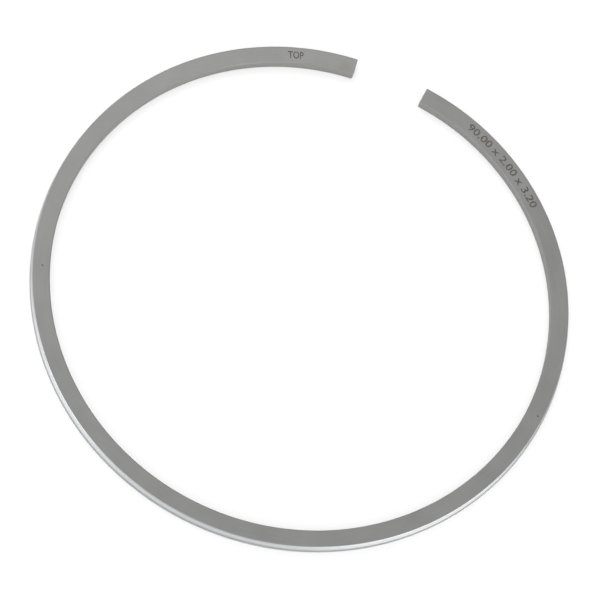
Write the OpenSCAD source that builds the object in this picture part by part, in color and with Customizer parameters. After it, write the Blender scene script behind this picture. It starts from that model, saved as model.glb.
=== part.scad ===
// Split compression ring for a piston, lying free on its lower side face.
// The ring is made for a bore and is sprung open: its free shape is the one that presses
// evenly on the cylinder wall all round once the ring is closed in the bore.
// The gap faces +Y, and the origin is under the middle of the free ring's box.

/* [Ring] */
// Bore of the cylinder that the closed ring runs in
bore = 90; // [70:1:140]
// Wall of the ring, from its inner face to its running face
radial_wall = 3.2; // [2.4:0.1:4.5]
// Height of the ring between its two side faces
ring_height = 2; // [1.5:0.1:4]

/* [Gap] */
// Gap between the ends when the ring is closed in the bore
closed_gap = 0.4; // [0.2:0.05:1]
// Gap between the ends when the ring lies free, across the middle of the wall
free_gap = 13; // [4:0.5:18]

/* [Section] */
// Height of the barrel-shaped running face's crest above the lower side face
crest_height = 0.8; // [0.7:0.05:1.3]
// Rise of the crest above the upper edge of the running face
barrel_rise = 0.03; // [0.01:0.01:0.06]
// Chamfer on the two edges of the running face
outer_chamfer = 0.2; // [0.05:0.05:0.4]
// Chamfer on the two edges of the inner face
inner_chamfer = 0.15; // [0.05:0.05:0.4]
// Chamfer on the two upright edges of each cut end
end_chamfer = 0.12; // [0.05:0.01:0.4]

/* [Hidden] */
$fn = 360;

// Middle of the wall in the closed ring, and the angle from its back to one cut end
mean_radius = (bore - radial_wall) / 2;
cut_angle = 180 - closed_gap / (2 * mean_radius) * 180 / PI;

// The free ring is followed from its back to one end in arcs that run on tangent from each
// other. An arc turns by an angle whose sine and cosine end after six decimals, 0.307624 and
// 0.951508, and its radius is a whole number of microns. So an arc begins on the very face
// where the one before it ends, and the arcs grow into one solid.
arc_turn = 17.9161;
longest_last_arc = 1.25;
function whole_microns(length) = round(length * 1000) / 1000;

// Share of the closed ring's curvature that is left at an angle from the back when the
// ring is free. Even pressure bends the back the most and the ends not at all.
function curvature_left(angle, spring) = 1 - spring * (1 + cos(angle));

// The arcs from an angle of the closed ring to the cut end, each as its radius and its turn
function free_arcs(spring, angle = 0) =
    let (
        radius = whole_microns(mean_radius / curvature_left(angle + arc_turn / 2, spring)),
        turn_left = (cut_angle - angle) * mean_radius / radius
    )
    turn_left <= longest_last_arc * arc_turn ? [[radius, turn_left]]
    : concat([[radius, arc_turn]], free_arcs(spring, angle + arc_turn * radius / mean_radius));

// Direction out of the ring, square to a heading
function outward(heading) = [sin(heading), -cos(heading)];

// A point of the cut end, at a distance outside the middle of the wall.
// It is measured from the middle of the wall at the back of the ring.
function end_point(arcs, outside, i = 0, start = 0, centre = [0, 0]) =
    let (
        heading = start + arcs[i][1],
        from = i == 0 ? [0, arcs[0][0]] : centre
    )
    i == len(arcs) - 1 ? from + (arcs[i][0] + outside) * outward(heading)
    : end_point(arcs, outside, i + 1, heading, from + (arcs[i][0] - arcs[i + 1][0]) * outward(heading));

// Spring of the ring, corrected in a few passes until the ends stand free_gap apart
gap_per_spring = 3 * PI * mean_radius;
spring_passes = 6;
function gap_of(spring) = 2 * end_point(free_arcs(spring), 0)[0];
function solve_spring(spring, passes) =
    passes == 0 ? spring
    : solve_spring(spring + (free_gap - gap_of(spring)) / gap_per_spring, passes - 1);
arcs = free_arcs(solve_spring((free_gap - closed_gap) / gap_per_spring, spring_passes));

// Middle of the free ring along Y, between the back and the outer corners of the ends
box_middle_y = (end_point(arcs, radial_wall / 2)[1] - radial_wall / 2) / 2;

// The running face is one arc through its crest and its upper edge. The crest lies nearer the
// lower side, so the ring has an upper side, which must face the piston's crown.
above_crest = ring_height - crest_height;
barrel_radius = (pow(above_crest, 2) + pow(barrel_rise, 2)) / (2 * barrel_rise);

// Section through the wall, standing on its lower side face, running face towards +X
module wall_section() {
    outer = radial_wall / 2;
    intersection() {
        polygon([
            [inner_chamfer - outer, 0],
            [outer - outer_chamfer, 0],
            [outer, outer_chamfer],
            [outer, ring_height - outer_chamfer],
            [outer - outer_chamfer, ring_height],
            [inner_chamfer - outer, ring_height],
            [-outer, ring_height - inner_chamfer],
            [-outer, inner_chamfer]
        ]);
        translate([outer - barrel_radius, crest_height])
            circle(r = barrel_radius);
    }
}

// Wall revolved about the Z axis, from +X through a turn
module wall_arc(radius, turn) {
    rotate_extrude(angle = turn)
        translate([radius, 0])
            wall_section();
}

// Takes the chamfer off one upright edge of a cut end, which lies on the Z axis
module end_edge_cut() {
    cut_side = end_chamfer * sqrt(2);
    rotate(45)
        translate([0, 0, ring_height / 2])
            cube([cut_side, cut_side, 2 * ring_height], center = true);
}

// The arcs from number i to the cut end, drawn about the centre of arc i
module wall_from(i) {
    radius = arcs[i][0];
    turn = arcs[i][1];
    if (i < len(arcs) - 1) {
        wall_arc(radius, turn);
        rotate(turn)
            translate([radius - arcs[i + 1][0], 0, 0])
                wall_from(i + 1);
    } else {
        difference() {
            wall_arc(radius, turn);
            rotate(turn)
                for (side = [-1, 1])
                    translate([radius + side * radial_wall / 2, 0, 0])
                        end_edge_cut();
        }
    }
}

// From the back of the ring to its end on the +X side
module half_ring() {
    translate([0, arcs[0][0], 0])
        rotate(-90)
            wall_from(0);
}

module piston_ring() {
    color("darkgray")
        translate([0, -box_middle_y, 0]) {
            half_ring();
            mirror([1, 0, 0])
                half_ring();
        }
}

piston_ring();
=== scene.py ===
"""Studio scene of a split piston ring, laid out as a Blender add-on.

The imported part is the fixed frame. The ring that shows is swept along the free shape of a ring
that presses evenly on its bore, its marks follow the same line, and a stage lights it.
"""
import math

import bmesh
import bpy
from bpy.props import FloatProperty, FloatVectorProperty, IntProperty, PointerProperty, StringProperty
from mathutils import Matrix, Vector


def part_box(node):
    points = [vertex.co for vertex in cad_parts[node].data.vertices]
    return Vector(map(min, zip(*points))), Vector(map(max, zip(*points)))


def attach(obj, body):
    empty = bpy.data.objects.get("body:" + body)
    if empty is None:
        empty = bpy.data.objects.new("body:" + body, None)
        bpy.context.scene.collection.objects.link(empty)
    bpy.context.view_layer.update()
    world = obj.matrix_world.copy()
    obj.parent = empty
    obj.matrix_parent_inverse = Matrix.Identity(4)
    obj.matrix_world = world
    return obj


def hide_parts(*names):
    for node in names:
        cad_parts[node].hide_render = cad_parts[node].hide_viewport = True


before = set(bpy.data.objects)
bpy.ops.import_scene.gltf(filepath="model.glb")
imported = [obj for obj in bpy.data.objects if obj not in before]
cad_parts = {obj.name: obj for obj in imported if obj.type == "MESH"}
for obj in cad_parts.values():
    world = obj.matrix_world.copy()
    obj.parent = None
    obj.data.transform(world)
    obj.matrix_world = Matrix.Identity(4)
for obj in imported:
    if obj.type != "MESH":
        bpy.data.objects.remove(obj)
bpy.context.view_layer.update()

bl_info = {
    "name": "Split Piston Ring",
    "version": (1, 0, 0),
    "blender": (4, 5, 0),
    "location": "View3D > Sidebar > Piston Ring",
    "description": "Makes a split compression ring with its marks, and a stage to show it on",
    "category": "Add Mesh",
}

CAD_NODE = "piston_ring"
BODY = "root"

MM = 0.001
MICRON = 0.000001
RING_LOW, RING_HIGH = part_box(CAD_NODE)

MATH = "ShaderNodeMath"
VECTOR_MATH = "ShaderNodeVectorMath"

# Section of the wall. It stays a hair inside the solid that it replaces, and a point just past each rounding
# keeps the flats beside it flat. The face's foot is the corner where the running face starts.
INSET = 5 * MICRON
ROUNDING_STEPS = 6
SUPPORT_REACH = 1.3
BARREL_STEPS = 10
FACE_FOOT = 2

# Sweep along the ring. The short steps at the ends carry their chamfers.
END_STEPS = 4
SPRING_PASSES = 8
SPRING_STEPS = 2000
SHARP_ANGLE = math.radians(35)
MERGE_DISTANCE = 0.1 * MICRON
# Share of the outer chamfers that was lapped along with the running face
LAPPED_CHAMFER = 0.2

# Letters before they are scaled: how much bolder than the typeface, and any depth, which becomes the film's
BOLDNESS = 0.012
LETTER_STEPS = 3
LETTER_DEPTH = 0.5

# Patterns on the steel, and for lines their sizes along and across. Clouds and turned lines have their real
# size. Grinding grit and lapping lines are really 0.01 to 0.05 mm wide, and the laser's spots about as wide.
# They wouldn't show in the render, so they are drawn about five times as coarse.
CLOUD_SIZE = 7 * MM
STREAK_GRAIN = (5 * MM, 0.25 * MM)
GRIT_SIZE = 0.2 * MM
LAPPED_GRAIN = (6 * MM, 0.08 * MM)
TURNED_GRAIN = (20 * MM, 0.1 * MM)
CUT_GRAIN = (3 * MM, 0.06 * MM)
BURN_SIZE = 0.3 * MM

# Depths of the patterns' relief
GROUND_DEPTH = 2 * MICRON
LAPPED_DEPTH = 0.2 * MICRON
EDGE_DEPTH = 0.5 * MICRON
TURNED_DEPTH = 2 * MICRON
CUT_DEPTH = 2 * MICRON
BURN_DEPTH = 3 * MICRON

# Noise values between which a pattern goes from one tone to the other, and how far its gloss varies
TONE_RANGE = (0.3, 0.7)
BURN_RANGE = (0.35, 0.75)
STREAK_GLOSS = 0.05
LINE_GLOSS = 0.04

# Shares of the streaks in the ground sides' tone and relief, and of the lapped lines' smear
STREAK_TONE = 0.4
STREAK_RELIEF = 0.5
LAPPED_SMEAR = 0.8
QUARTER_TURN = 0.25

# Flaws of the upper side, the ragged edge that they all have, and the core share that is fully coloured
STAIN_PLACE = (-8.2 * MM, 43.6 * MM)
STAIN_RADIUS = 1.7 * MM
PIT_PLACE = (-43.19 * MM, -13.75 * MM)
PIT_RADIUS = 0.3 * MM
SMALL_PIT_PLACE = (46.16 * MM, -3.8 * MM)
SMALL_PIT_RADIUS = 0.22 * MM
RAGGED_SIZE = 0.8 * MM
RAGGED_REACH = 1.2 * MM
SPOT_CORE = 0.3

# Heights between which the painted shade on the running face's foot ends, and the stretch of Y over which it
# runs out
FOOT_SHADE_HEIGHT = (0.5 * MM, 1.4 * MM)
FOOT_SHADE_REACH = (-44 * MM, -12 * MM)

FLOOR_SIZE = 3.0
FLOOR_DROP = 0.01 * MM
SENSOR_WIDTH = 36
CLIP_RANGE = (0.01, 10)

# Inputs of the free ring's middle line, which the wall and the marks both follow
LINE_INPUTS = {
    "Mean Radius": "Float",
    "Half Length": "Float",
    "Spring": "Float",
    "Back": "Float",
    "Steps": "Int",
    "End Steps": "Int",
    "End Step": "Float",
}


def linear(hex_colour):
    """Linear red, green and blue of an sRGB hex colour."""
    shares = [int(hex_colour[i:i + 2], 16) / 255 for i in (1, 3, 5)]
    return [s / 12.92 if s <= 0.04045 else ((s + 0.055) / 1.055) ** 2.4 for s in shares]


def length(name, description, default):
    """A property for a length in metres."""
    return FloatProperty(name=name, description=description, default=default, unit="LENGTH", precision=6)


def colour(name, description, hex_colour):
    """A property for a colour, given as sRGB hex."""
    return FloatVectorProperty(
        name=name, description=description, default=linear(hex_colour), subtype="COLOR", min=0, max=1
    )


def factor(name, description, default):
    """A property for a share from 0 to 1."""
    return FloatProperty(
        name=name, description=description, default=default, min=0, max=1, subtype="FACTOR"
    )


def strength(name, description, default):
    """A property for a brightness, where 1 shows as white."""
    return FloatProperty(name=name, description=description, default=default, min=0)


def turn(name, description, degrees):
    """A property for an angle, given in degrees."""
    return FloatProperty(
        name=name, description=description, default=math.radians(degrees), subtype="ANGLE"
    )


def scene_point(name, description, default):
    """A property for a place in the scene."""
    return FloatVectorProperty(
        name=name, description=description, default=default, subtype="TRANSLATION", precision=5
    )


def lamp_size(name, description, default):
    """A property for a lamp's width and height."""
    return FloatVectorProperty(name=name, description=description, default=default, size=2, unit="LENGTH")


class RingSizes(bpy.types.PropertyGroup):
    """Sizes of the ring's wall, gaps and edges."""

    bore: length("Bore", "Bore of the cylinder that the closed ring runs in", 90 * MM)
    wall: length("Wall", "From the inner face to the running face", 3.2 * MM)
    height: length("Height", "Between the two side faces", RING_HIGH.z - RING_LOW.z)
    closed_gap: length("Closed gap", "Gap between the ends in the bore", 0.4 * MM)
    free_gap: length("Free gap", "Gap between the ends when free, mid-wall", 13 * MM)
    crest_height: length("Crest height", "Height of the running face's crest", 0.8 * MM)
    barrel_rise: length("Barrel rise", "Rise of the crest above the face's upper edge", 0.03 * MM)
    outer_chamfer: length("Outer chamfer", "Chamfer on the running face's edges", 0.2 * MM)
    inner_chamfer: length("Inner chamfer", "Chamfer on the inner face's edges", 0.15 * MM)
    end_chamfer: length("End chamfer", "Chamfer on the upright edges of the cut ends", 0.12 * MM)
    end_break: length("End break", "Broken edge along the top and foot of the cut ends", 0.03 * MM)
    outer_round: length("Outer rounding", "Reach of the rounding on the outer chamfers' edges", 0.1 * MM)
    inner_round: length("Inner rounding", "Reach of the rounding on the inner chamfers' edges", 0.04 * MM)
    steps: IntProperty(name="Steps", description="Steps along the ring", default=640, min=64)


class RingFinish(bpy.types.PropertyGroup):
    """Colours and gloss of the ring's faces and marks."""

    ground: colour("Ground side", "Colour of the ground side faces", "#9C9C9B")
    ground_dark: colour("Ground side, dark", "Darker tone in the side faces' clouds", "#90908F")
    ground_low: colour("Ground side, low", "Tint of what the side faces mirror at a low angle", "#A0A0A0")
    ground_roughness: factor("Side roughness", "Roughness of the ground side faces", 0.38)
    running: colour("Running face", "Colour of the lapped running face", "#CECFD0")
    running_dark: colour("Running face, dark", "Darker tone in the running face's lines", "#C4C5C6")
    # Painted shade: the running face's lower part is darker, for the floor's shadow that the face mirrors at
    # its foot
    running_foot_shade: colour("Running face, foot shade", "Painted shade on the running face's lower part", "#B0B1B2")
    running_roughness: factor("Running roughness", "Roughness of the running face", 0.55)
    edge: colour("Outer edges", "Colour of the chamfers beside the running face", "#B2B3B4")
    edge_dark: colour("Outer edges, dark", "Darker tone in the outer chamfers' lines", "#A6A7A8")
    turned: colour("Inner face", "Colour of the turned inner face", "#9A9A99")
    turned_dark: colour("Inner face, dark", "Darker tone in the inner face's tool lines", "#8C8C8B")
    turned_roughness: factor("Inner roughness", "Roughness of the inner face", 0.7)
    cut: colour("Cut ends", "Colour of the ground ends", "#9C9C9B")
    cut_dark: colour("Cut ends, dark", "Darker tone in the ends' grinding lines", "#8C8C8B")
    stain: colour("Stain", "Colour of the stain beside the left end", "#95948D")
    pit: colour("Pits", "Colour of the two pits", "#6B6A64")
    mark: colour("Marks", "Colour of the laser marks", "#453F3A")
    mark_pale: colour("Marks, pale", "Paler tone where a mark is burnt less", "#6C645D")
    mark_roughness: factor("Mark roughness", "Roughness of the laser marks", 0.65)


class MarkSizes(bpy.types.PropertyGroup):
    """Sizes and places of the marks on the upper side."""

    side_word: StringProperty(
        name="Side word", description="Word on the side that faces the crown", default="TOP"
    )
    film: length("Film", "Thickness of the burnt film that a mark is", 6 * MICRON)
    letter_height: length("Letter height", "Height of the capitals and digits", 1.4 * MM)
    word_length: length("Word length", "From the start of the word to its end", 2.8 * MM)
    word_from_end: length("Word from end", "From the left end to the middle of the word", 10.9 * MM)
    sizes_length: length("Sizes length", "From the start of the row of sizes to its end", 18.9 * MM)
    sizes_from_end: length("Sizes from end", "From the right end to the middle of the sizes", 19.3 * MM)


class StageSizes(bpy.types.PropertyGroup):
    """Camera and light."""

    distance: length("Distance", "From the camera to the point that it looks at", 0.9)
    elevation: turn("Elevation", "Height angle of the camera", 67.12)
    azimuth: turn("Azimuth", "Turn of the camera about the ring", -1.14)
    roll: turn("Roll", "Turn of the camera about its own axis", 23.8)
    lens: FloatProperty(
        name="Lens", description="Focal length for a 36 mm sensor", default=309.76, unit="CAMERA"
    )
    target: scene_point("Target", "Point that the camera looks at", (0.25 * MM, -0.13 * MM, 0))
    floor: colour("Floor", "Colour of the floor", "#CBCBCB")
    floor_light: strength("Floor light", "What the floor's own lamp adds to the floor's brightness", 0.48)
    floor_lamp_size: lamp_size("Floor lamp size", "Width and height of the floor's lamp", (0.02, 0.02))
    floor_lamp_place: scene_point("Floor lamp place", "Middle of the floor's lamp", (-0.004, -0.012, 0.4))
    back_light: strength("Back light", "What the lamp behind the ring adds to the floor's brightness", 0.09)
    back_lamp_size: lamp_size("Back lamp size", "Width and height of the lamp behind the ring", (0.5, 0.5))
    back_lamp_place: scene_point("Back lamp place", "Middle of the lamp behind the ring", (-0.18, 0.41, 0.36))
    tent_right: strength("Right wall", "Light of the tent's wall on the right", 0.7)
    tent_left: strength("Left wall", "Light of the tent's wall on the left", 0.9)
    tent_back: strength("Back wall", "Light of the tent's wall behind the ring", 0.3)
    tent_front: strength("Front wall", "Light of the tent's wall behind the camera", 1.5)
    tent_roof: strength("Roof", "Light of the tent's roof", 0.9)
    right_light: strength("Right lamp", "Brightness of the low lamp on the right", 3.2)
    right_lamp_size: lamp_size("Right lamp size", "Width and height of the right lamp", (0.6, 0.26))
    right_lamp_place: scene_point("Right lamp place", "Middle of the right lamp", (0.48, -0.23, 0.14))
    left_light: strength("Left lamp", "Brightness of the low lamp on the left", 2.7)
    left_lamp_size: lamp_size("Left lamp size", "Width and height of the left lamp", (0.42, 0.28))
    left_lamp_place: scene_point("Left lamp place", "Middle of the left lamp", (-0.45, -0.29, 0.16))
    softbox: strength("Softbox", "Brightness of the lamp over the ring's back left", 0.7)
    softbox_size: lamp_size("Softbox size", "Width and height of the softbox", (0.2, 0.2))
    softbox_place: scene_point("Softbox place", "Middle of the softbox", (-0.1, 0.22, 0.3))


class PistonRingSettings(bpy.types.PropertyGroup):
    """All settings of the ring and its stage."""

    sizes: PointerProperty(type=RingSizes)
    finish: PointerProperty(type=RingFinish)
    marks: PointerProperty(type=MarkSizes)
    stage: PointerProperty(type=StageSizes)


def add_node(tree, kind, inputs=None, **settings):
    """Adds a node with its settings. An input is named or numbered, and set or linked to a node or socket."""
    node = tree.nodes.new(kind)
    for name, value in settings.items():
        setattr(node, name, value)
    for key, value in (inputs or {}).items():
        socket = node.inputs[key] if isinstance(key, int) else next(
            s for s in node.inputs if s.enabled and s.name == key)
        if isinstance(value, bpy.types.Node):
            value = next(s for s in value.outputs if s.enabled)
        if isinstance(value, bpy.types.NodeSocket):
            tree.links.new(value, socket)
        else:
            socket.default_value = value
    return node


def new_tree(name, inputs, output):
    """A geometry node tree with named inputs, given as name and kind of socket, and one output."""
    tree = bpy.data.node_groups.new(name, "GeometryNodeTree")
    for socket_name, kind in inputs.items():
        tree.interface.new_socket(socket_name, in_out="INPUT", socket_type="NodeSocket" + kind)
    tree.interface.new_socket(output[0], in_out="OUTPUT", socket_type="NodeSocket" + output[1])
    return tree, add_node(tree, "NodeGroupInput").outputs


def heading_tree():
    """Heading of the free ring at an angle of the closed one: angle - spring * (angle + sin(angle))."""
    tree, given = new_tree("Ring heading", {"Angle": "Float", "Spring": "Float"}, ("Heading", "Float"))
    sine = add_node(tree, MATH, {0: given["Angle"]}, operation="SINE")
    opened = add_node(tree, MATH, {0: given["Angle"], 1: sine}, operation="ADD")
    turned_back = add_node(tree, MATH, {0: opened, 1: given["Spring"]}, operation="MULTIPLY")
    heading = add_node(tree, MATH, {0: given["Angle"], 1: turned_back}, operation="SUBTRACT")
    add_node(tree, "NodeGroupOutput", {"Heading": heading})
    return tree


def middle_line_tree(heading_group):
    """Middle line of the free wall, from the left end round the back to the right end."""
    tree, given = new_tree("Ring middle line", LINE_INPUTS, ("Line", "Geometry"))
    count = add_node(tree, MATH, {0: given["Steps"], 1: 1.0}, operation="ADD")
    chain = add_node(tree, "GeometryNodeResampleCurve", {
        "Curve": add_node(tree, "GeometryNodeCurvePrimitiveLine"), "Count": count,
    }, mode="COUNT")

    # Length of the step before each point: short ones at both ends, and even ones between
    index = add_node(tree, "GeometryNodeInputIndex")
    from_start = add_node(tree, MATH, {0: index, 1: 1.0}, operation="SUBTRACT")
    from_end = add_node(tree, MATH, {0: given["Steps"], 1: index}, operation="SUBTRACT")
    nearest = add_node(tree, MATH, {0: from_start, 1: from_end}, operation="MINIMUM")
    at_end = add_node(tree, MATH, {0: nearest, 1: given["End Steps"]}, operation="LESS_THAN")
    both_ends = add_node(tree, MATH, {0: given["End Steps"], 1: 2.0}, operation="MULTIPLY")
    end_length = add_node(tree, MATH, {0: both_ends, 1: given["End Step"]}, operation="MULTIPLY")
    whole = add_node(tree, MATH, {0: given["Half Length"], 1: 2.0}, operation="MULTIPLY")
    between = add_node(tree, MATH, {0: whole, 1: end_length}, operation="SUBTRACT")
    even_steps = add_node(tree, MATH, {0: given["Steps"], 1: both_ends}, operation="SUBTRACT")
    even_step = add_node(tree, MATH, {0: between, 1: even_steps}, operation="DIVIDE")
    chosen = add_node(tree, "GeometryNodeSwitch", {
        "Switch": at_end, "False": even_step, "True": given["End Step"],
    }, input_type="FLOAT")
    moved = add_node(tree, MATH, {0: index, 1: 0.5}, operation="GREATER_THAN")
    step = add_node(tree, MATH, {0: chosen, 1: moved}, operation="MULTIPLY")

    # Place of each point: the sum of the steps, each along the heading at its own middle
    summed = add_node(tree, "GeometryNodeAccumulateField", {"Value": step}, data_type="FLOAT")
    along = add_node(tree, MATH, {0: summed, 1: given["Half Length"]}, operation="SUBTRACT")
    half_step = add_node(tree, MATH, {0: step, 1: 0.5}, operation="MULTIPLY")
    step_middle = add_node(tree, MATH, {0: along, 1: half_step}, operation="SUBTRACT")
    angle = add_node(tree, MATH, {0: step_middle, 1: given["Mean Radius"]}, operation="DIVIDE")
    heading = add_node(tree, "GeometryNodeGroup", {
        "Angle": angle, "Spring": given["Spring"],
    }, node_tree=heading_group)
    way = add_node(tree, "ShaderNodeCombineXYZ", {
        "X": add_node(tree, MATH, {0: heading}, operation="COSINE"),
        "Y": add_node(tree, MATH, {0: heading}, operation="SINE"),
    })
    move = add_node(tree, VECTOR_MATH, {0: way, "Scale": step}, operation="SCALE")
    place = add_node(tree, "GeometryNodeAccumulateField", {"Value": move}, data_type="FLOAT_VECTOR")
    shaped = add_node(tree, "GeometryNodeSetPosition", {"Geometry": chain, "Position": place})

    # The line is centred across, and its back is set where the frame has it
    box = add_node(tree, "GeometryNodeBoundBox", {"Geometry": shaped, "Use Radius": False})
    low = add_node(tree, "ShaderNodeSeparateXYZ", {0: box.outputs["Min"]})
    high = add_node(tree, "ShaderNodeSeparateXYZ", {0: box.outputs["Max"]})
    both_sides = add_node(tree, MATH, {0: low.outputs["X"], 1: high.outputs["X"]}, operation="ADD")
    offset = add_node(tree, "ShaderNodeCombineXYZ", {
        "X": add_node(tree, MATH, {0: both_sides, 1: -0.5}, operation="MULTIPLY"),
        "Y": add_node(tree, MATH, {0: given["Back"], 1: low.outputs["Y"]}, operation="SUBTRACT"),
    })
    placed = add_node(tree, "GeometryNodeSetPosition", {"Geometry": shaped, "Offset": offset})
    kept = add_node(tree, "GeometryNodeStoreNamedAttribute", {
        "Geometry": placed, "Name": "along", "Value": along,
    }, data_type="FLOAT", domain="POINT")
    line = add_node(tree, "GeometryNodeSetCurveNormal", {"Curve": kept}, mode="Z_UP")
    add_node(tree, "NodeGroupOutput", {"Line": line})
    return tree


def wall_tree(heading_group, line_group):
    """The wall's section swept along the middle line, with its end edges broken and its materials set."""
    tree, given = new_tree("Ring wall", {
        "Geometry": "Geometry", "Section": "Object", **LINE_INPUTS,
        "Wall": "Float", "Height": "Float", "Outer Chamfer": "Float", "Inner Chamfer": "Float",
        "End Chamfer": "Float", "End Break": "Float",
        "Cut End": "Material", "Ground Side": "Material", "Outer Edge": "Material",
        "Running Face": "Material", "Inner Face": "Material",
    }, ("Geometry", "Geometry"))
    line = add_node(tree, "GeometryNodeGroup", {name: given[name] for name in LINE_INPUTS},
                    node_tree=line_group)

    # The section keeps its distance from the middle of the wall, so that the mesh has it too
    position = add_node(tree, "GeometryNodeInputPosition")
    parts = add_node(tree, "ShaderNodeSeparateXYZ", {0: position})
    section = add_node(tree, "GeometryNodeObjectInfo", {"Object": given["Section"]})
    outline = add_node(tree, "GeometryNodeStoreNamedAttribute", {
        "Geometry": section.outputs["Geometry"], "Name": "across", "Value": parts.outputs["X"],
    }, data_type="FLOAT", domain="POINT")
    swept = add_node(tree, "GeometryNodeCurveToMesh", {
        "Curve": line, "Profile Curve": outline, "Fill Caps": True,
    })

    # Direction out of the ring at each point of the mesh
    along = add_node(tree, "GeometryNodeInputNamedAttribute", {"Name": "along"}, data_type="FLOAT")
    across = add_node(tree, "GeometryNodeInputNamedAttribute", {"Name": "across"}, data_type="FLOAT")
    angle = add_node(tree, MATH, {0: along, 1: given["Mean Radius"]}, operation="DIVIDE")
    heading = add_node(tree, "GeometryNodeGroup", {
        "Angle": angle, "Spring": given["Spring"],
    }, node_tree=heading_group)
    cosine = add_node(tree, MATH, {0: heading}, operation="COSINE")
    outward = add_node(tree, "ShaderNodeCombineXYZ", {
        "X": add_node(tree, MATH, {0: heading}, operation="SINE"),
        "Y": add_node(tree, MATH, {0: cosine, 1: -1.0}, operation="MULTIPLY"),
    })

    # Within reach of a cut end the section shrinks, which breaks the end's edges
    past_back = add_node(tree, MATH, {0: along}, operation="ABSOLUTE")
    to_end = add_node(tree, MATH, {0: given["Half Length"], 1: past_back}, operation="SUBTRACT")
    half_wall = add_node(tree, MATH, {0: given["Wall"], 1: 0.5}, operation="MULTIPLY")
    reach_left = add_node(tree, MATH, {0: given["End Chamfer"], 1: to_end}, operation="SUBTRACT")
    cut_across = add_node(tree, MATH, {0: reach_left, 1: 0.0}, operation="MAXIMUM")
    widest = add_node(tree, MATH, {0: half_wall, 1: cut_across}, operation="SUBTRACT")
    least = add_node(tree, MATH, {0: widest, 1: -1.0}, operation="MULTIPLY")
    held_across = add_node(tree, "ShaderNodeClamp", {"Value": across, "Min": least, "Max": widest})
    shift_across = add_node(tree, MATH, {0: held_across, 1: across}, operation="SUBTRACT")
    break_left = add_node(tree, MATH, {0: given["End Break"], 1: to_end}, operation="SUBTRACT")
    cut_up = add_node(tree, MATH, {0: break_left, 1: 0.0}, operation="MAXIMUM")
    highest = add_node(tree, MATH, {0: given["Height"], 1: cut_up}, operation="SUBTRACT")
    held_up = add_node(tree, "ShaderNodeClamp", {"Value": parts.outputs["Z"], "Min": cut_up, "Max": highest})
    shift_up = add_node(tree, MATH, {0: held_up, 1: parts.outputs["Z"]}, operation="SUBTRACT")
    inwards = add_node(tree, VECTOR_MATH, {0: outward, "Scale": shift_across}, operation="SCALE")
    upright = add_node(tree, "ShaderNodeCombineXYZ", {"Z": shift_up})
    shift = add_node(tree, VECTOR_MATH, {0: inwards, 1: upright}, operation="ADD")
    broken = add_node(tree, "GeometryNodeSetPosition", {"Geometry": swept, "Offset": shift})

    # Smooth faces, with the steep edges of the ends kept sharp
    edge_angle = add_node(tree, "GeometryNodeInputMeshEdgeAngle")
    steep = add_node(tree, MATH, {0: edge_angle, 1: SHARP_ANGLE}, operation="GREATER_THAN")
    smooth = add_node(tree, "GeometryNodeSetShadeSmooth", {
        "Geometry": broken, "Shade Smooth": True,
    }, domain="FACE")
    shaded = add_node(tree, "GeometryNodeSetShadeSmooth", {
        "Geometry": smooth, "Selection": steep, "Shade Smooth": False,
    }, domain="EDGE")
    real = add_node(tree, "GeometryNodeRealizeInstances", {"Geometry": shaded})

    # Materials by face: the sides first, then the outer edges and face, the inner face and the ends
    outer_edge = add_node(tree, MATH, {0: half_wall, 1: given["Outer Chamfer"]}, operation="SUBTRACT")
    lapped = add_node(tree, MATH, {0: given["Outer Chamfer"], 1: LAPPED_CHAMFER}, operation="MULTIPLY")
    face_edge = add_node(tree, MATH, {0: half_wall, 1: lapped}, operation="SUBTRACT")
    inner_edge = add_node(tree, MATH, {0: given["Inner Chamfer"], 1: half_wall}, operation="SUBTRACT")
    finish = add_node(tree, "GeometryNodeSetMaterial", {"Geometry": real, "Material": given["Ground Side"]})
    for face, selection in {
        "Outer Edge": add_node(tree, MATH, {0: across, 1: outer_edge}, operation="GREATER_THAN"),
        "Running Face": add_node(tree, MATH, {0: across, 1: face_edge}, operation="GREATER_THAN"),
        "Inner Face": add_node(tree, MATH, {0: across, 1: inner_edge}, operation="LESS_THAN"),
        "Cut End": add_node(tree, MATH, {0: to_end, 1: given["End Chamfer"]}, operation="LESS_THAN"),
    }.items():
        finish = add_node(tree, "GeometryNodeSetMaterial", {
            "Geometry": finish, "Selection": selection, "Material": given[face],
        })
    add_node(tree, "NodeGroupOutput", {"Geometry": finish})
    return tree


def mark_tree(line_group):
    """Flat letters laid along the ring's middle line, clockwise, with their tops outwards."""
    tree, given = new_tree("Mark on the ring", {
        "Geometry": "Geometry", **LINE_INPUTS, "Place": "Float", "Foot": "Float", "Mark": "Material",
    }, ("Geometry", "Geometry"))
    line = add_node(tree, "GeometryNodeGroup", {name: given[name] for name in LINE_INPUTS},
                    node_tree=line_group)
    letter = add_node(tree, "ShaderNodeSeparateXYZ", {0: add_node(tree, "GeometryNodeInputPosition")})
    start = add_node(tree, MATH, {0: given["Place"], 1: given["Half Length"]}, operation="ADD")
    run = add_node(tree, MATH, {0: start, 1: letter.outputs["X"]}, operation="SUBTRACT")
    sample = add_node(tree, "GeometryNodeSampleCurve", {"Curves": line, "Length": run}, mode="LENGTH")
    outwards = add_node(tree, VECTOR_MATH, {
        0: sample.outputs["Normal"], "Scale": letter.outputs["Y"],
    }, operation="SCALE")
    across = add_node(tree, VECTOR_MATH, {0: sample.outputs["Position"], 1: outwards}, operation="ADD")
    height = add_node(tree, MATH, {0: given["Foot"], 1: letter.outputs["Z"]}, operation="ADD")
    upright = add_node(tree, "ShaderNodeCombineXYZ", {"Z": height})
    raised = add_node(tree, VECTOR_MATH, {0: across, 1: upright}, operation="ADD")
    laid = add_node(tree, "GeometryNodeSetPosition", {"Geometry": given["Geometry"], "Position": raised})
    real = add_node(tree, "GeometryNodeRealizeInstances", {"Geometry": laid})
    finish = add_node(tree, "GeometryNodeSetMaterial", {"Geometry": real, "Material": given["Mark"]})
    add_node(tree, "NodeGroupOutput", {"Geometry": finish})
    return tree


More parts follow.
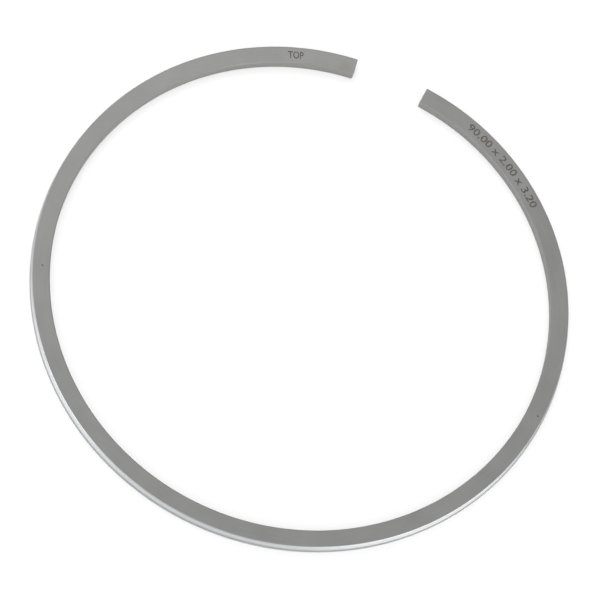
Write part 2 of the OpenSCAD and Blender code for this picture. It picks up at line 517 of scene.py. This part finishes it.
def ring_trees():
    """The trees by name, made once."""
    if "Ring wall" not in bpy.data.node_groups:
        heading = heading_tree()
        line = middle_line_tree(heading)
        wall_tree(heading, line)
        mark_tree(line)
    return bpy.data.node_groups


def mean_radius(sizes):
    """Radius of the middle of the wall in the closed ring."""
    return (sizes.bore - sizes.wall) / 2


def spring_of(sizes):
    """Share of its curvature that the free ring loses, for the free gap between its ends."""
    radius = mean_radius(sizes)
    cut_angle = math.pi - sizes.closed_gap / (2 * radius)
    gap_per_spring = 3 * math.pi * radius
    spring = (sizes.free_gap - sizes.closed_gap) / gap_per_spring
    step = cut_angle / SPRING_STEPS
    angles = [(i + 0.5) * step for i in range(SPRING_STEPS)]
    for _ in range(SPRING_PASSES):
        gap = 2 * radius * step * sum(math.cos(a - spring * (a + math.sin(a))) for a in angles)
        spring += (sizes.free_gap - gap) / gap_per_spring
    return spring


def line_values(sizes):
    """Values for the inputs that the wall and the marks share."""
    radius = mean_radius(sizes)
    return {
        "Mean Radius": radius,
        "Half Length": math.pi * radius - sizes.closed_gap / 2,
        "Spring": spring_of(sizes),
        "Back": RING_LOW.y + sizes.wall / 2,
        "Steps": sizes.steps,
        "End Steps": END_STEPS,
        "End Step": sizes.end_chamfer / (END_STEPS - 1),
    }


def section_outline(sizes, height):
    """Points round the wall's section, as distance from mid-wall and height, with each edge rounded."""
    half = sizes.wall / 2 - INSET
    inner, outer = sizes.inner_chamfer, sizes.outer_chamfer
    above_crest = sizes.height - sizes.crest_height

    def drop(z):
        return sizes.barrel_rise * ((z - sizes.crest_height) / above_crest) ** 2

    low, high = outer - drop(outer), height - outer + drop(height - outer)
    corners = [
        (inner - half, 0), (half - outer, 0),
        (half - drop(low), low), (half - drop(high), high),
        (half - outer, height), (inner - half, height),
        (-half, height - inner), (-half, inner),
    ]
    corners = [Vector(c) for c in corners]
    outline = []
    for i, corner in enumerate(corners):
        reach = sizes.outer_round if corner.x > 0 else sizes.inner_round
        before = (corners[i - 1] - corner).normalized() * reach
        after = (corners[(i + 1) % len(corners)] - corner).normalized() * reach
        outline.append(corner + before * SUPPORT_REACH)
        for k in range(ROUNDING_STEPS + 1):
            t = k / ROUNDING_STEPS
            outline.append(corner + before * (1 - t) ** 2 + after * t ** 2)
        outline.append(corner + after * SUPPORT_REACH)
        if i == FACE_FOOT:
            foot, top = outline[-1].y, high - reach * SUPPORT_REACH
            for k in range(1, BARREL_STEPS):
                z = foot + (top - foot) * k / BARREL_STEPS
                outline.append(Vector((half - drop(z), z)))
    return outline


def section_curve(sizes, height):
    """The section as a closed flat curve. A sweep turns its Y axis down, so the height is negative."""
    outline = section_outline(sizes, height)
    curve = bpy.data.curves.new("Wall section", "CURVE")
    spline = curve.splines.new("POLY")
    spline.points.add(len(outline) - 1)
    for point, place in zip(spline.points, outline):
        point.co = (place.x, -place.y, 0, 1)
    spline.use_cyclic_u = True
    return bpy.data.objects.new("Wall section", curve)


def mesh_from_tree(obj, tree, values):
    """Runs a tree on an object with values for its inputs, and keeps the result as a plain closed mesh."""
    modifier = obj.modifiers.new(tree.name, "NODES")
    modifier.node_group = tree
    for item in tree.interface.items_tree:
        if item.in_out == "INPUT" and item.name in values:
            modifier[item.identifier] = values[item.name]
    graph = bpy.context.evaluated_depsgraph_get()
    evaluated = obj.evaluated_get(graph)
    mesh = bpy.data.meshes.new_from_object(evaluated, preserve_all_data_layers=True, depsgraph=graph)
    obj.modifiers.remove(modifier)
    close_mesh(mesh, obj.name)
    mesh.name = obj.name
    obj.data = mesh


def close_mesh(mesh, name):
    """Merges doubles, turns the faces outwards, and stops if the mesh has an open edge."""
    work = bmesh.new()
    work.from_mesh(mesh)
    bmesh.ops.remove_doubles(work, verts=work.verts, dist=MERGE_DISTANCE)
    bmesh.ops.recalc_face_normals(work, faces=work.faces)
    open_edges = sum(not edge.is_manifold for edge in work.edges)
    work.to_mesh(mesh)
    work.free()
    if open_edges:
        raise RuntimeError(f"{name} has {open_edges} open edges")


def new_object(name, data):
    """An object in the scene, at the origin."""
    obj = bpy.data.objects.new(name, data)
    bpy.context.scene.collection.objects.link(obj)
    return obj


def new_material(name):
    """A material with an empty node tree."""
    material = bpy.data.materials.new(name)
    material.use_nodes = True
    material.node_tree.nodes.clear()
    return material, material.node_tree


def rgba(values):
    """A colour property as a socket's colour."""
    return (*values, 1)


def lines(tree, along, across, grain):
    """A noise drawn out along one direction of the surface, as tool lines are."""
    stretched = add_node(tree, "ShaderNodeCombineXYZ", {
        "X": add_node(tree, MATH, {0: along, 1: grain[0]}, operation="DIVIDE"),
        "Y": add_node(tree, MATH, {0: across, 1: grain[1]}, operation="DIVIDE"),
    })
    noise = add_node(tree, "ShaderNodeTexNoise", {"Vector": stretched, "Scale": 1.0, "Detail": 3.0})
    return noise.outputs["Fac"]


def two_tones(tree, noise, noise_range, low, high):
    """Goes from one colour at a noise's low values to another at its high ones."""
    return add_node(tree, "ShaderNodeMix", {
        "Factor": add_node(tree, "ShaderNodeMapRange", {
            "Value": noise, "From Min": noise_range[0], "From Max": noise_range[1],
        }),
        "A": rgba(low), "B": rgba(high),
    }, data_type="RGBA")


def spot(tree, place, centre, radius):
    """1 within a spot on the surface, fading to 0 at its radius."""
    away = add_node(tree, VECTOR_MATH, {0: place, 1: centre}, operation="DISTANCE")
    return add_node(tree, "ShaderNodeMapRange", {
        "Value": away.outputs["Value"], "From Min": radius, "From Max": SPOT_CORE * radius,
    }, interpolation_type="SMOOTHSTEP")


def ground_steel(finish, top):
    """Steel ground flat on both sides at once: satin and nearly neutral, also when seen from low down.

    It has broad clouds and fine streaks. The stain beside one end and the two pits are flaws of this
    ring's upper side.
    """
    material, tree = new_material("Ground steel")
    place = add_node(tree, "ShaderNodeTexCoord").outputs["Object"]
    along = add_node(tree, "ShaderNodeAttribute", attribute_name="along").outputs["Fac"]
    across = add_node(tree, "ShaderNodeAttribute", attribute_name="across").outputs["Fac"]
    clouds = add_node(tree, "ShaderNodeTexNoise", {"Vector": place, "Scale": 1 / CLOUD_SIZE, "Detail": 4.0})
    streaks = lines(tree, along, across, STREAK_GRAIN)
    mottle = add_node(tree, "ShaderNodeMix", {
        "Factor": STREAK_TONE, "A": clouds.outputs["Fac"], "B": streaks,
    })
    tone = two_tones(tree, mottle, TONE_RANGE, finish.ground_dark, finish.ground)

    # Flaws, whose edges a finer noise makes ragged
    warp = add_node(tree, "ShaderNodeTexNoise", {"Vector": place, "Scale": 1 / RAGGED_SIZE, "Detail": 2.0})
    ragged = add_node(tree, VECTOR_MATH, {0: warp.outputs["Color"], 1: (0.5, 0.5, 0.5)}, operation="SUBTRACT")
    shifted = add_node(tree, VECTOR_MATH, {
        0: ragged, 1: (RAGGED_REACH, RAGGED_REACH, 0), 2: place,
    }, operation="MULTIPLY_ADD")
    for centre, radius, shade in (
        (STAIN_PLACE, STAIN_RADIUS, finish.stain),
        (PIT_PLACE, PIT_RADIUS, finish.pit),
        (SMALL_PIT_PLACE, SMALL_PIT_RADIUS, finish.pit),
    ):
        tone = add_node(tree, "ShaderNodeMix", {
            "Factor": spot(tree, shifted, (*centre, top), radius), "A": tone, "B": rgba(shade),
        }, data_type="RGBA")

    grit = add_node(tree, "ShaderNodeTexNoise", {"Vector": place, "Scale": 1 / GRIT_SIZE, "Detail": 3.0})
    relief = add_node(tree, "ShaderNodeMix", {
        "Factor": STREAK_RELIEF, "A": grit.outputs["Fac"], "B": streaks,
    })
    bump = add_node(tree, "ShaderNodeBump", {"Height": relief, "Distance": GROUND_DEPTH, "Strength": 1.0})
    gloss = add_node(tree, "ShaderNodeMapRange", {
        "Value": streaks,
        "To Min": finish.ground_roughness - STREAK_GLOSS, "To Max": finish.ground_roughness + STREAK_GLOSS,
    })
    shader = add_node(tree, "ShaderNodeBsdfPrincipled", {
        "Base Color": tone, "Metallic": 1.0, "Roughness": gloss, "Normal": bump,
        "Specular Tint": rgba(finish.ground_low),
    })
    add_node(tree, "ShaderNodeOutputMaterial", {"Surface": shader})
    return material


def lined_steel(name, direction, grain, dark, pale, roughness, depth, smear=0.0, foot=None):
    """A steel whose fine tool lines show in its tone, its gloss and its relief.

    The lines follow one of the ring's attributes, one above the other. Lines round the ring also smear what
    the face mirrors up and down, by a share from 0 to 1. A foot is a painted shade: a darker colour on a
    face's lower part, for the floor's shadow that the face mirrors at its foot. It is highest at the ring's
    back and runs out towards its ends.
    """
    material, tree = new_material(name)
    coordinates = add_node(tree, "ShaderNodeTexCoord")
    place = add_node(tree, "ShaderNodeSeparateXYZ", {0: coordinates.outputs["Object"]})
    along = add_node(tree, "ShaderNodeAttribute", attribute_name=direction).outputs["Fac"]
    height = lines(tree, along, place.outputs["Z"], grain)
    tone = two_tones(tree, height, TONE_RANGE, dark, pale)
    # Painted shade: the face's lower part takes the darker foot colour, highest at the ring's back and
    # running out towards its ends
    if foot:
        drop = add_node(tree, "ShaderNodeMapRange", {
            "Value": place.outputs["Y"], "From Min": FOOT_SHADE_REACH[0], "From Max": FOOT_SHADE_REACH[1],
            "To Max": FOOT_SHADE_HEIGHT[1],
        })
        up = add_node(tree, MATH, {0: place.outputs["Z"], 1: drop}, operation="ADD")
        above = add_node(tree, "ShaderNodeMapRange", {
            "Value": up, "From Min": FOOT_SHADE_HEIGHT[0], "From Max": FOOT_SHADE_HEIGHT[1],
        }, interpolation_type="SMOOTHSTEP")
        tone = add_node(tree, "ShaderNodeMix", {
            "Factor": above, "A": rgba(foot), "B": tone,
        }, data_type="RGBA")
    gloss = add_node(tree, "ShaderNodeMapRange", {
        "Value": height, "To Min": roughness + LINE_GLOSS, "To Max": roughness - LINE_GLOSS,
    })
    bump = add_node(tree, "ShaderNodeBump", {"Height": height, "Distance": depth, "Strength": 1.0})
    shader = add_node(tree, "ShaderNodeBsdfPrincipled", {
        "Base Color": tone, "Metallic": 1.0, "Roughness": gloss, "Normal": bump,
        "Anisotropic": smear, "Anisotropic Rotation": QUARTER_TURN,
        "Tangent": add_node(tree, "ShaderNodeTangent", direction_type="RADIAL", axis="Z"),
    })
    add_node(tree, "ShaderNodeOutputMaterial", {"Surface": shader})
    return material


def lapped_steel(finish):
    """Hard lapped running face with very fine lines round the ring, and a painted shade on its lower part for
    the floor's shadow that it mirrors.
    """
    return lined_steel("Lapped steel", "along", LAPPED_GRAIN, finish.running_dark, finish.running,
                       finish.running_roughness, LAPPED_DEPTH, LAPPED_SMEAR, finish.running_foot_shade)


def edge_steel(finish):
    """Outer edges, broken after grinding: brighter than the sides and duller than the running face."""
    return lined_steel("Broken steel edge", "along", LAPPED_GRAIN, finish.edge_dark, finish.edge,
                       finish.ground_roughness, EDGE_DEPTH)


def turned_steel(finish):
    """Steel turned on the inside: satin, with tool lines round the ring a tenth of a millimetre apart."""
    return lined_steel("Turned steel", "along", TURNED_GRAIN, finish.turned_dark, finish.turned,
                       finish.turned_roughness, TURNED_DEPTH)


def cut_steel(finish):
    """Steel cut across the wall and ground: satin, with straight lines across the end."""
    return lined_steel("Cut steel", "across", CUT_GRAIN, finish.cut_dark, finish.cut,
                       finish.ground_roughness, CUT_DEPTH)


def laser_mark(finish):
    """Oxide burnt in by a marking laser: matt, dark and slightly brown, and paler where it is thin."""
    material, tree = new_material("Laser-burnt oxide")
    place = add_node(tree, "ShaderNodeTexCoord").outputs["Object"]
    noise = add_node(tree, "ShaderNodeTexNoise", {"Vector": place, "Scale": 1 / BURN_SIZE, "Detail": 3.0})
    burn = noise.outputs["Fac"]
    tone = two_tones(tree, burn, BURN_RANGE, finish.mark, finish.mark_pale)
    bump = add_node(tree, "ShaderNodeBump", {"Height": burn, "Distance": BURN_DEPTH, "Strength": 1.0})
    shader = add_node(tree, "ShaderNodeBsdfPrincipled", {
        "Base Color": tone, "Metallic": 0.0, "Roughness": finish.mark_roughness, "Normal": bump,
    })
    add_node(tree, "ShaderNodeOutputMaterial", {"Surface": shader})
    return material


class MESH_OT_piston_ring_add(bpy.types.Operator):
    """Make the split ring in its free shape, lying on its lower side"""

    bl_idname = "mesh.piston_ring_add"
    bl_label = "Split Ring"
    bl_options = {"REGISTER", "UNDO"}

    def execute(self, context):
        settings = context.scene.piston_ring
        sizes, finish = settings.sizes, settings.finish
        height = sizes.height - settings.marks.film
        section = section_curve(sizes, height)
        ring = new_object("split_ring", bpy.data.meshes.new("split_ring"))
        mesh_from_tree(ring, ring_trees()["Ring wall"], {
            **line_values(sizes), "Section": section, "Wall": sizes.wall, "Height": height,
            "Outer Chamfer": sizes.outer_chamfer, "Inner Chamfer": sizes.inner_chamfer,
            "End Chamfer": sizes.end_chamfer, "End Break": sizes.end_break,
            "Cut End": cut_steel(finish), "Ground Side": ground_steel(finish, height),
            "Outer Edge": edge_steel(finish), "Running Face": lapped_steel(finish),
            "Inner Face": turned_steel(finish),
        })
        bpy.data.objects.remove(section)
        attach(ring, BODY)
        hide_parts(CAD_NODE)
        return {"FINISHED"}


def letters(name, text, row_length, marks):
    """Text as a mesh object of a given length and letter height, centred on the origin and one film thick."""
    curve = bpy.data.curves.new(name, "FONT")
    curve.body = text
    curve.align_x, curve.align_y = "CENTER", "CENTER"
    curve.extrude = LETTER_DEPTH
    curve.offset = BOLDNESS
    curve.resolution_u = LETTER_STEPS
    flat = new_object(name, curve)
    graph = bpy.context.evaluated_depsgraph_get()
    mesh = bpy.data.meshes.new_from_object(flat.evaluated_get(graph), depsgraph=graph)
    bpy.data.objects.remove(flat)
    low = [min(v.co[i] for v in mesh.vertices) for i in range(3)]
    high = [max(v.co[i] for v in mesh.vertices) for i in range(3)]
    middle = Vector([(a + b) / 2 for a, b in zip(low, high)])
    wanted = (row_length, marks.letter_height, marks.film)
    scale = [w / (b - a) for w, a, b in zip(wanted, low, high)]
    mesh.transform(Matrix.Diagonal((*scale, 1)) @ Matrix.Translation(-middle))
    return new_object(name, mesh)


class MESH_OT_piston_ring_marks_add(bpy.types.Operator):
    """Make the laser marks on the upper side: the side word, and the ring's own sizes"""

    bl_idname = "mesh.piston_ring_marks_add"
    bl_label = "Marks"
    bl_options = {"REGISTER", "UNDO"}

    def execute(self, context):
        settings = context.scene.piston_ring
        sizes, marks = settings.sizes, settings.marks
        line = line_values(sizes)
        material = laser_mark(settings.finish)
        size_text = f"{sizes.bore / MM:.2f} x {sizes.height / MM:.2f} x {sizes.wall / MM:.2f}"
        for name, text, row_length, place in (
            ("side_mark", marks.side_word, marks.word_length, marks.word_from_end - line["Half Length"]),
            ("size_mark", size_text, marks.sizes_length, line["Half Length"] - marks.sizes_from_end),
        ):
            mark = letters(name, text, row_length, marks)
            mesh_from_tree(mark, ring_trees()["Mark on the ring"], {
                **line, "Place": place, "Foot": sizes.height - marks.film / 2, "Mark": material,
            })
            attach(mark, BODY)
        return {"FINISHED"}


def floor_material(stage):
    """Matt white board."""
    material, tree = new_material("White board")
    board = add_node(tree, "ShaderNodeBsdfDiffuse", {"Color": rgba(stage.floor)})
    add_node(tree, "ShaderNodeOutputMaterial", {"Surface": board})
    return material


def make_floor(stage):
    """A plain floor just under the ring."""
    mesh = bpy.data.meshes.new("floor")
    half = FLOOR_SIZE / 2
    corners = [(x, y, -FLOOR_DROP) for x, y in ((-half, -half), (half, -half), (half, half), (-half, half))]
    mesh.from_pydata(corners, [], [(0, 1, 2, 3)])
    mesh.materials.append(floor_material(stage))
    floor = new_object("floor", mesh)
    return floor


def make_tent(stage):
    """A light tent of four walls and a roof, which fade into each other, each with its own brightness.

    A wall's share is the square of how far a direction points at it, so that all shares add up to 1.
    """
    world = bpy.data.worlds.new("Light tent")
    world.use_nodes = True
    tree = world.node_tree
    tree.nodes.clear()
    coordinates = add_node(tree, "ShaderNodeTexCoord")
    way = add_node(tree, "ShaderNodeSeparateXYZ", {0: coordinates.outputs["Generated"]})
    light = 0.0
    for axis, side, brightness in (
        ("X", 1.0, stage.tent_right), ("X", -1.0, stage.tent_left),
        ("Y", 1.0, stage.tent_back), ("Y", -1.0, stage.tent_front),
        ("Z", 1.0, stage.tent_roof),
    ):
        towards = add_node(tree, MATH, {0: way.outputs[axis], 1: side}, operation="MULTIPLY")
        facing = add_node(tree, MATH, {0: towards, 1: 0.0}, operation="MAXIMUM")
        share = add_node(tree, MATH, {0: facing, 1: 2.0}, operation="POWER")
        light = add_node(tree, MATH, {0: share, 1: brightness, 2: light}, operation="MULTIPLY_ADD")
    tent = add_node(tree, "ShaderNodeBackground", {"Color": (1, 1, 1, 1), "Strength": light})
    add_node(tree, "ShaderNodeOutputWorld", {"Surface": tent})
    bpy.context.scene.world = world


def make_lamp(name, brightness, size, place):
    """A flat lamp that faces the ring's middle."""
    lamp = bpy.data.lights.new(name, "AREA")
    lamp.shape = "RECTANGLE"
    lamp.size, lamp.size_y = size
    lamp.energy = brightness * math.pi * size[0] * size[1]
    obj = new_object(name, lamp)
    place = Vector(place)
    obj.matrix_world = Matrix.Translation(place) @ place.to_track_quat("Z", "Y").to_matrix().to_4x4()
    return obj


def link_lamp(lamp, floor, state):
    """Has a lamp light the floor alone (INCLUDE), or everything else (EXCLUDE)."""
    linked = bpy.data.collections.new(f"Floor under {lamp.name}")
    linked.objects.link(floor)
    linked.collection_objects[0].light_linking.link_state = state
    lamp.light_linking.receiver_collection = linked


def make_lamps(stage, floor):
    """A lamp over the back left, two low ones at the sides for the ring, and two for the floor alone."""
    make_lamp("softbox", stage.softbox, stage.softbox_size, stage.softbox_place)
    for name, brightness, size, place in (
        ("right_lamp", stage.right_light, stage.right_lamp_size, stage.right_lamp_place),
        ("left_lamp", stage.left_light, stage.left_lamp_size, stage.left_lamp_place),
    ):
        link_lamp(make_lamp(name, brightness, size, place), floor, "EXCLUDE")

    # Each floor lamp is as bright as its share of the floor's brightness needs, at its distance and slant
    grey = sum(stage.floor) / 3
    for name, share, size, place in (
        ("floor_lamp", stage.floor_light, stage.floor_lamp_size, stage.floor_lamp_place),
        ("back_lamp", stage.back_light, stage.back_lamp_size, stage.back_lamp_place),
    ):
        spread = Vector(place).length ** 3 / place[2]
        brightness = share / grey * math.pi * spread / (size[0] * size[1])
        link_lamp(make_lamp(name, brightness, size, place), floor, "INCLUDE")


def make_camera(stage):
    """The camera on its arc round the target, turned about its own axis by the roll."""
    camera = bpy.data.cameras.new("camera")
    camera.sensor_width = SENSOR_WIDTH
    camera.lens = stage.lens
    camera.clip_start, camera.clip_end = CLIP_RANGE
    aim = Matrix.Rotation(stage.azimuth, 4, "Z") @ Matrix.Rotation(math.pi / 2 - stage.elevation, 4, "X")
    obj = new_object("camera", camera)
    obj.matrix_world = (Matrix.Translation(stage.target) @ aim
                        @ Matrix.Translation((0, 0, stage.distance)) @ Matrix.Rotation(stage.roll, 4, "Z"))
    bpy.context.scene.camera = obj


class SCENE_OT_piston_ring_stage(bpy.types.Operator):
    """Make the floor, the light and the camera"""

    bl_idname = "scene.piston_ring_stage"
    bl_label = "Stage"
    bl_options = {"REGISTER", "UNDO"}

    def execute(self, context):
        stage = context.scene.piston_ring.stage
        floor = make_floor(stage)
        make_tent(stage)
        make_lamps(stage, floor)
        make_camera(stage)
        context.scene.view_settings.view_transform = "Standard"
        return {"FINISHED"}


class VIEW3D_PT_piston_ring(bpy.types.Panel):
    """Buttons and settings of the ring, its marks and its stage"""

    bl_label = "Split Piston Ring"
    bl_idname = "VIEW3D_PT_piston_ring"
    bl_space_type = "VIEW_3D"
    bl_region_type = "UI"
    bl_category = "Piston Ring"

    def draw(self, context):
        settings = context.scene.piston_ring
        for operator, groups in (
            (MESH_OT_piston_ring_add, (settings.sizes, settings.finish)),
            (MESH_OT_piston_ring_marks_add, (settings.marks,)),
            (SCENE_OT_piston_ring_stage, (settings.stage,)),
        ):
            box = self.layout.box()
            box.operator(operator.bl_idname)
            for group in groups:
                for name in group.__annotations__:
                    box.prop(group, name)


CLASSES = (
    RingSizes,
    RingFinish,
    MarkSizes,
    StageSizes,
    PistonRingSettings,
    MESH_OT_piston_ring_add,
    MESH_OT_piston_ring_marks_add,
    SCENE_OT_piston_ring_stage,
    VIEW3D_PT_piston_ring,
)


def register():
    for cls in CLASSES:
        bpy.utils.register_class(cls)
    bpy.types.Scene.piston_ring = PointerProperty(type=PistonRingSettings)


def unregister():
    del bpy.types.Scene.piston_ring
    for cls in reversed(CLASSES):
        bpy.utils.unregister_class(cls)


def main():
    register()
    bpy.ops.scene.piston_ring_stage()
    bpy.ops.mesh.piston_ring_add()
    bpy.ops.mesh.piston_ring_marks_add()


if __name__ == "__main__":
    main()
